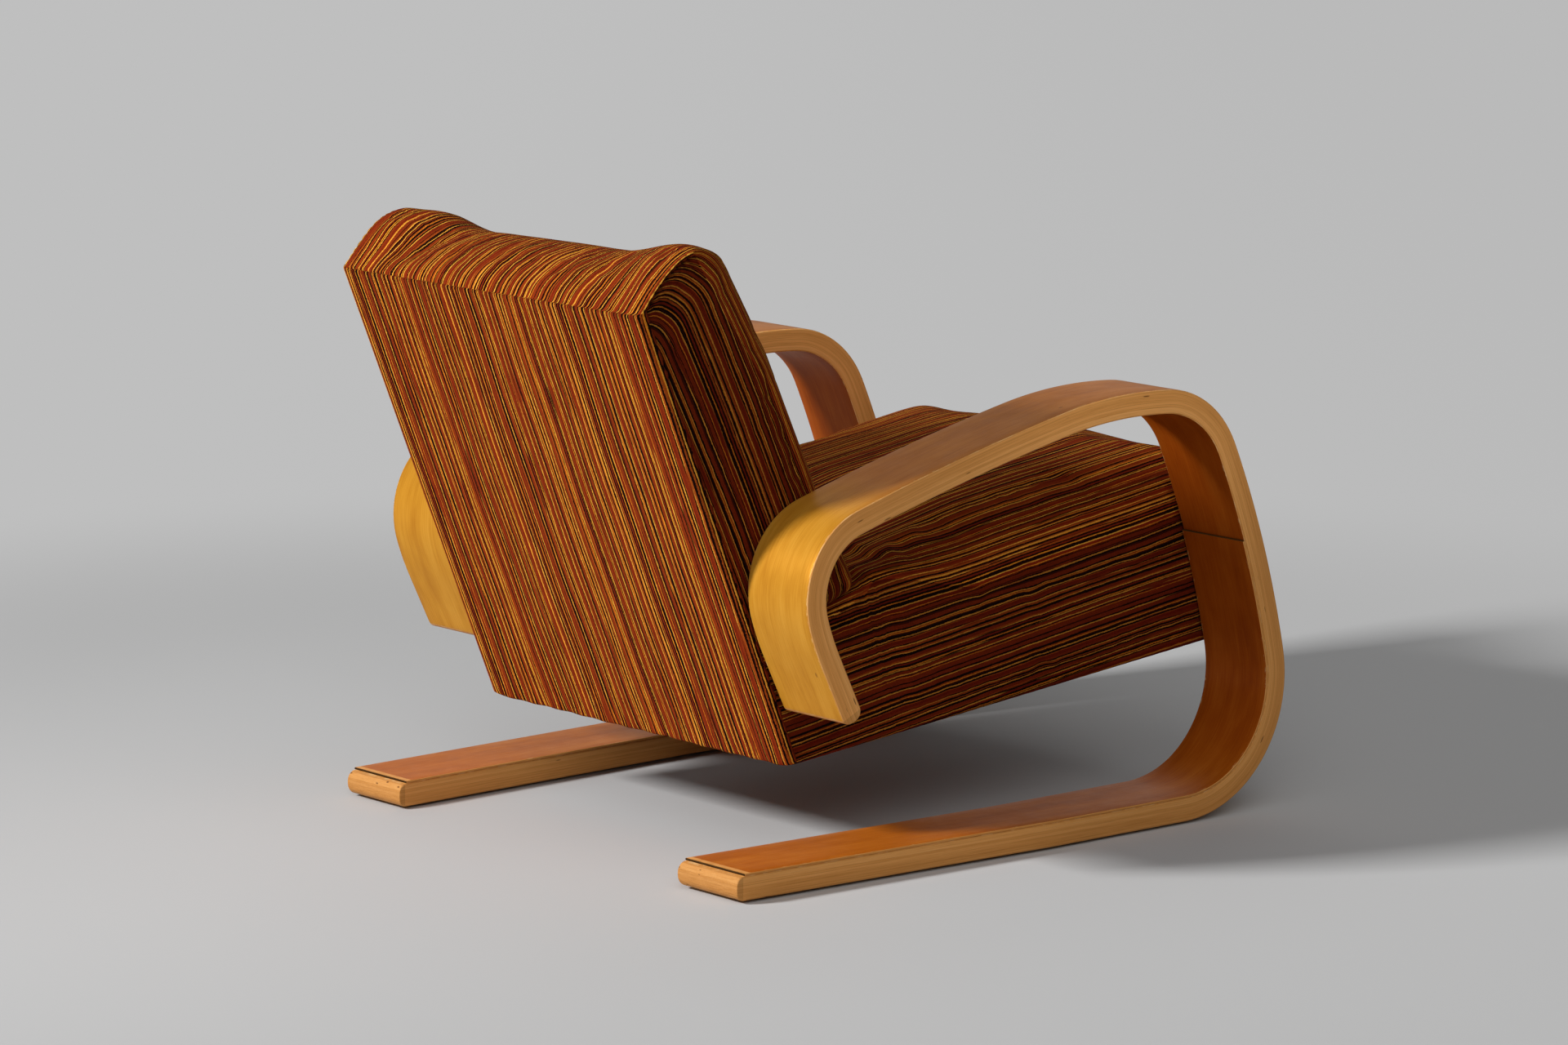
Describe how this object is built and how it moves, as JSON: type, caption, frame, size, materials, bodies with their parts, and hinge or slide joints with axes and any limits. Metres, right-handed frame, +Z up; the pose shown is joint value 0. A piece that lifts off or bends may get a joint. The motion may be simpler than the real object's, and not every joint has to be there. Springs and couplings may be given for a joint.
{
  "type": "lounge armchair",
  "caption": "Upholstered lounge armchair with an inclined back, held between two closed bent-laminate arm and leg loops with flat runners.",
  "frame": {"origin": "on the floor, under the middle of the chair's bounding box", "axes": "+Z is up, -Y is the way the sitter faces, and +X is the sitter's left hand side"},
  "size_m": [0.735, 0.8538, 0.6855],
  "materials": {
    "lacquered_birch": "glossy clear lacquer",
    "raw_beech": "planed, unfinished",
    "striped_cloth": "ribbed woven stripes",
    "pale_foam": "open-cell foam",
    "spring_steel": "bare wire",
    "zinc_plate": "zinc plated",
    "jute": "coarse weave",
    "dust_cloth": "thin black cloth",
    "dark_felt": "felt"
  },
  "bodies": {
    "root": {"arm_loop_left": "lacquered_birch", "arm_loop_right": "lacquered_birch", "arm_ply_left": "lacquered_birch", "arm_ply_right": "lacquered_birch", "back_bottom_rail": "raw_beech", "back_bracket_left": "zinc_plate", "back_bracket_right": "zinc_plate", "back_cover": "striped_cloth", "back_lumbar_rail": "raw_beech", "back_pad": "pale_foam", "back_rear_panel": "striped_cloth", "back_stile_left": "raw_beech", "back_stile_right": "raw_beech", "back_strap_1": "jute", "back_strap_2": "jute", "back_strap_3": "jute", "back_strap_4": "jute", "back_top_rail": "raw_beech", "bolt_drop_high_left": "zinc_plate", "bolt_drop_high_right": "zinc_plate", "bolt_drop_low_left": "zinc_plate", "bolt_drop_low_right": "zinc_plate", "bolt_leg_high_left": "zinc_plate", "bolt_leg_high_right": "zinc_plate", "bolt_leg_low_left": "zinc_plate", "bolt_leg_low_right": "zinc_plate", "corner_block_front_left": "raw_beech", "corner_block_front_right": "raw_beech", "corner_block_rear_left": "raw_beech", "corner_block_rear_right": "raw_beech", "glide_front_left": "dark_felt", "glide_front_right": "dark_felt", "glide_rear_left": "dark_felt", "glide_rear_right": "dark_felt", "seat_cover": "striped_cloth", "seat_deck_cloth": "jute", "seat_dust_cloth": "dust_cloth", "seat_front_rail": "raw_beech", "seat_pad": "pale_foam", "seat_rear_rail": "raw_beech", "seat_side_rail_left": "raw_beech", "seat_side_rail_right": "raw_beech", "seat_spring_1": "spring_steel", "seat_spring_2": "spring_steel", "seat_spring_3": "spring_steel", "seat_spring_4": "spring_steel", "spacer_drop_high_left": "zinc_plate", "spacer_drop_high_right": "zinc_plate", "spacer_drop_low_left": "zinc_plate", "spacer_drop_low_right": "zinc_plate", "spacer_leg_high_left": "zinc_plate", "spacer_leg_high_right": "zinc_plate", "spacer_leg_low_left": "zinc_plate", "spacer_leg_low_right": "zinc_plate"}
  },
  "joints": []
}
